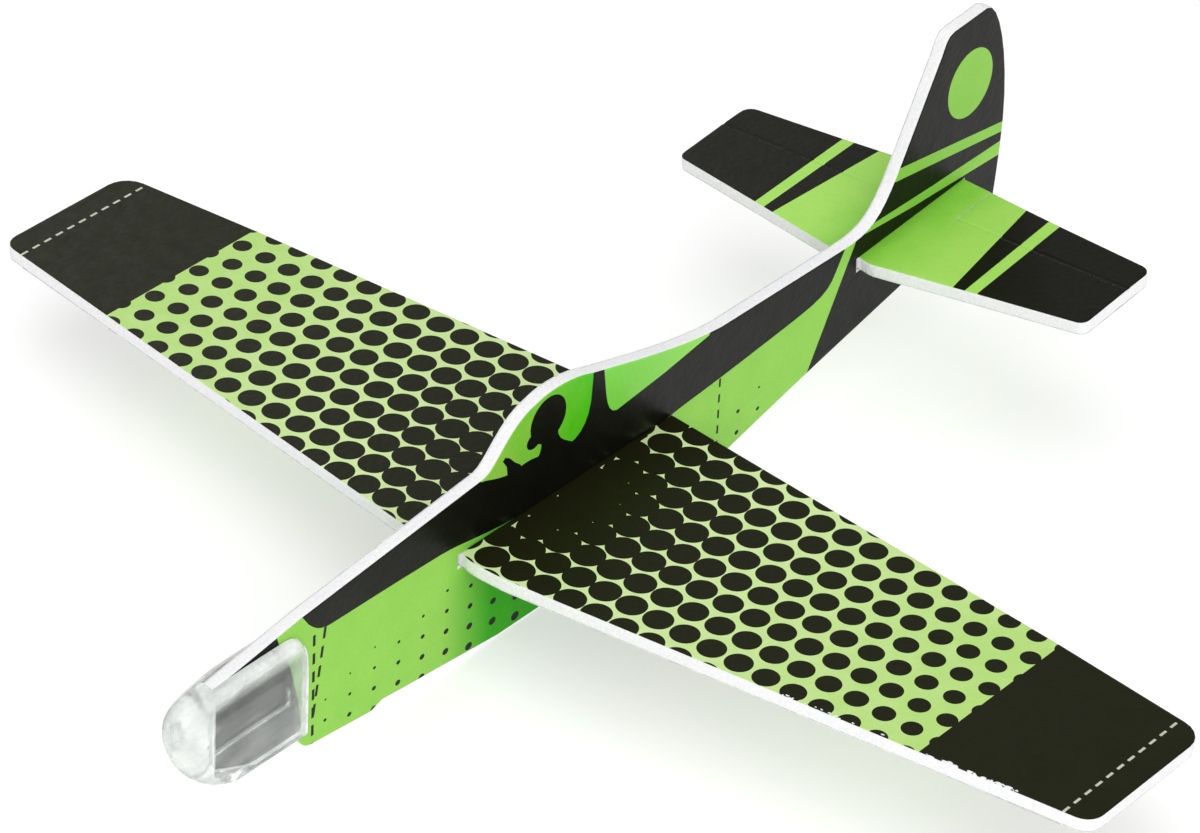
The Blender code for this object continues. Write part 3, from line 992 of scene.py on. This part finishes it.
def depth_inside(ring, at):
    """Distance of each point from the ring."""
    ring = np.array(ring, float)
    best = np.full(len(at), 1e9)
    for a, b in zip(ring, np.roll(ring, -1, 0)):
        along = b - a
        share = np.clip(((at - a) @ along) / max(1e-12, along @ along), 0, 1)
        best = np.minimum(best, np.linalg.norm(at - (a + share[:, None] * along), axis=1))
    return best


def smooth(value, low, high):
    """Rises smoothly from 0 at low to 1 at high."""
    t = np.clip((value - low) / (high - low), 0, 1)
    return t * t * (3 - 2 * t)


def hill(value, centre, width):
    """A smooth bump that is 1 at its centre."""
    return np.exp(-((value - centre) / width) ** 2)


def cap_half_width(ring, at):
    """Half the cap's width at each point of its side profile."""
    y, z = at[:, 0], at[:, 1]
    depth = depth_inside(ring, at)
    bulb = smooth(-y, 71.0, 78.5)
    radius = 0.7 + 0.4 * smooth(z, 15.0, 20.0) + 1.7 * bulb
    round_in = np.clip(depth / radius, 0, 1)
    width = (CAP_HALF + 0.25 * bulb) * np.sqrt(1 - (1 - round_in) ** 2)
    # A window is sunk into the side, with ribs left standing in it
    sunk = np.minimum(smooth(y, -76.0, -75.3), smooth(-y, 59.2, 59.55))
    sunk = np.minimum(sunk, smooth(z, 6.05, 6.6))
    sunk = np.minimum(sunk, smooth(-z, -20.5, -17.6))
    sunk = np.minimum(sunk, smooth(z + 0.46 * y, -26.0, -25.3))
    ribs = 0.2 * hill(z, CAP_RIB_Z, 0.22) + 0.1 * hill(z, 15.3, 0.5) + 0.08 * hill(z, 8.9, 0.45)
    ribs += 0.2 * hill(y, -62.0, 0.2) * smooth(z, 11.5, 12.0) * smooth(-z, -14.9, -14.2)
    width -= sunk * (0.55 - ribs * smooth(-y, 60.6, 61.6))
    # Beads run round it: at the rear, in front of the window, and along the top edge
    width += 0.12 * hill(y, -59.1, 0.2) * smooth(depth, 0.0, 0.3)
    width += 0.12 * hill(y, -76.6, 0.45) * smooth(z, 6.0, 9.0) * smooth(-z, -19.5, -17.0)
    width += 0.1 * hill(depth, 0.9, 0.35) * (1 - bulb) * smooth(z, 15.0, 19.0)
    # The bulb is slightly uneven
    ripple = [noise(Vector((a / 2.1, b / 2.6, 5.0))) for a, b in at]
    return np.maximum(width + 0.09 * np.array(ripple) * bulb * round_in, 0.1)


def cap_body():
    """The moulding's outer body, still without the slot that grips the nose."""
    ring = finer(cap_outline(), CAP_EDGE_STEP)
    lines = []
    for back in CAP_EDGE_ROWS:
        inner = inset(ring, back)
        lines.append(inner + inner[:1])
    low, high = np.array(ring).min(0), np.array(ring).max(0)
    across = np.arange(low[0], high[0], CAP_GRID_STEP)
    up = np.arange(low[1], high[1], CAP_GRID_STEP)
    grid = np.array([(u, v) for u in across for v in up])
    grid = grid[inside(ring, grid)]
    grid = grid[depth_inside(ring, grid) > CAP_GRID_DEPTH]
    lines += [[tuple(point)] for point in grid]
    at, triangles, _ = cut_sheet([ring], (), lines)
    width = cap_half_width(ring, at)
    count = len(at)
    vertices = [FUSELAGE.place(*p, w) for p, w in zip(at, width)]
    vertices += [FUSELAGE.place(*p, -w) for p, w in zip(at, width)]
    faces = []
    for a, b, c in triangles.tolist():
        faces += [(a, b, c), (a + count, c + count, b + count)]
    faces += [(b, a, a + count, b + count) for a, b in edge_pairs(triangles)]
    made = add_mesh("nose_cap_moulding", vertices, faces, [clear])
    loose_ends(made)
    return made


def cap_slot():
    """The space that the nose tongue fills, as a cutter."""
    nose = outlines("fuselage_core", FUSELAGE, 1)[0]
    front = min(nose)[0] - CAP_SLOT_GAP
    lower = [point for point in nose if point[0] < front + 1.0]
    low_front = (front, min(point[1] for point in lower) - CAP_SLOT_GAP)
    ring = [(front, 30.0), low_front, CAP_SLOT_CORNER, (CAP_SLOT_CORNER[0], 0.0)]
    ring += [(-50.0, 0.0), (-50.0, 30.0)]
    count = len(ring)
    vertices = [FUSELAGE.place(*p, side * CAP_SLOT_HALF) for side in (1, -1) for p in ring]
    faces = [tuple(range(count)), tuple(reversed(range(count, 2 * count)))]
    faces += [(i, i + count, (i + 1) % count + count, (i + 1) % count) for i in range(count)]
    return add_mesh("cap_cutter", vertices, faces, [])


def build_cap():
    """The clear cap: its moulding with the slot cut out of it."""
    cap = cap_body()
    cutter = cap_slot()
    cut = cap.modifiers.new("slot", "BOOLEAN")
    cut.operation = "DIFFERENCE"
    cut.solver = "EXACT"
    cut.object = cutter
    bpy.context.view_layer.update()
    graph = bpy.context.evaluated_depsgraph_get()
    mesh = bpy.data.meshes.new_from_object(cap.evaluated_get(graph), depsgraph=graph)
    cap.modifiers.clear()
    cap.data = mesh
    bpy.data.objects.remove(cutter)
    mesh.shade_smooth()
    mesh.set_sharp_from_angle(angle=math.radians(42))
    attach(cap, "nose_cap")
    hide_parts("nose_cap")


# ------------------------------------------------------------------------------------------- stage


def build_stage():
    """A pale floor that glows a little, a white sky and three soft lights."""
    nodes = Nodes("studio_floor")
    nodes.set(Base_Color=nodes.mix(nodes.noise(3.0), (0.6, 0.6, 0.6), (0.57, 0.57, 0.57)))
    nodes.set(Roughness=0.9, Specular_IOR_Level=0.1)
    nodes.set(Emission_Color=(1.0, 1.0, 1.0, 1.0), Emission_Strength=FLOOR_GLOW)
    half = FLOOR_HALF
    corners = [(-half, -half, 0), (half, -half, 0), (half, half, 0), (-half, half, 0)]
    floor = add_mesh("studio_floor", corners, [(0, 1, 2, 3)], [nodes.material])
    floor.location.z = FLOOR_Z
    world = bpy.data.worlds.new("studio")
    world.use_nodes = True
    background = world.node_tree.nodes["Background"]
    background.inputs["Color"].default_value = (1.0, 1.0, 1.0, 1.0)
    background.inputs["Strength"].default_value = SKY_STRENGTH
    bpy.context.scene.world = world
    for name, at, size, power in SOFTBOXES:
        add_softbox(name, at, size, power)


def add_softbox(name, at, size, power):
    """A round area light aimed at the toy."""
    lamp = bpy.data.lights.new(name, "AREA")
    lamp.shape = "DISK"
    lamp.size = size
    lamp.energy = power
    made = bpy.data.objects.new(name, lamp)
    made.location = at
    aim = Vector(SOFTBOX_AIM) - Vector(at)
    made.rotation_euler = aim.to_track_quat("-Z", "Y").to_euler()
    bpy.context.scene.collection.objects.link(made)


def build_camera():
    """A long lens from ahead, port and above, with the frame tilted a little."""
    azimuth = math.radians(CAMERA_AZIMUTH)
    elevation = math.radians(CAMERA_ELEVATION)
    back = Vector((
        math.sin(azimuth) * math.cos(elevation),
        -math.cos(azimuth) * math.cos(elevation),
        math.sin(elevation),
    ))
    camera = bpy.data.cameras.new("camera")
    camera.sensor_width = CAMERA_SENSOR
    camera.lens = CAMERA_LENS
    made = bpy.data.objects.new("camera", camera)
    place = Matrix.Translation(Vector(CAMERA_TARGET) + back * CAMERA_DISTANCE)
    turn = (-back).to_track_quat("-Z", "Y").to_matrix().to_4x4()
    made.matrix_world = place @ turn @ Matrix.Rotation(math.radians(CAMERA_ROLL), 4, "Z")
    bpy.context.scene.collection.objects.link(made)
    bpy.context.scene.camera = made
    bpy.context.scene.view_settings.view_transform = "Standard"


build_camera()
build_stage()
build_fuselage()
build_wing()
build_tail()
build_cap()
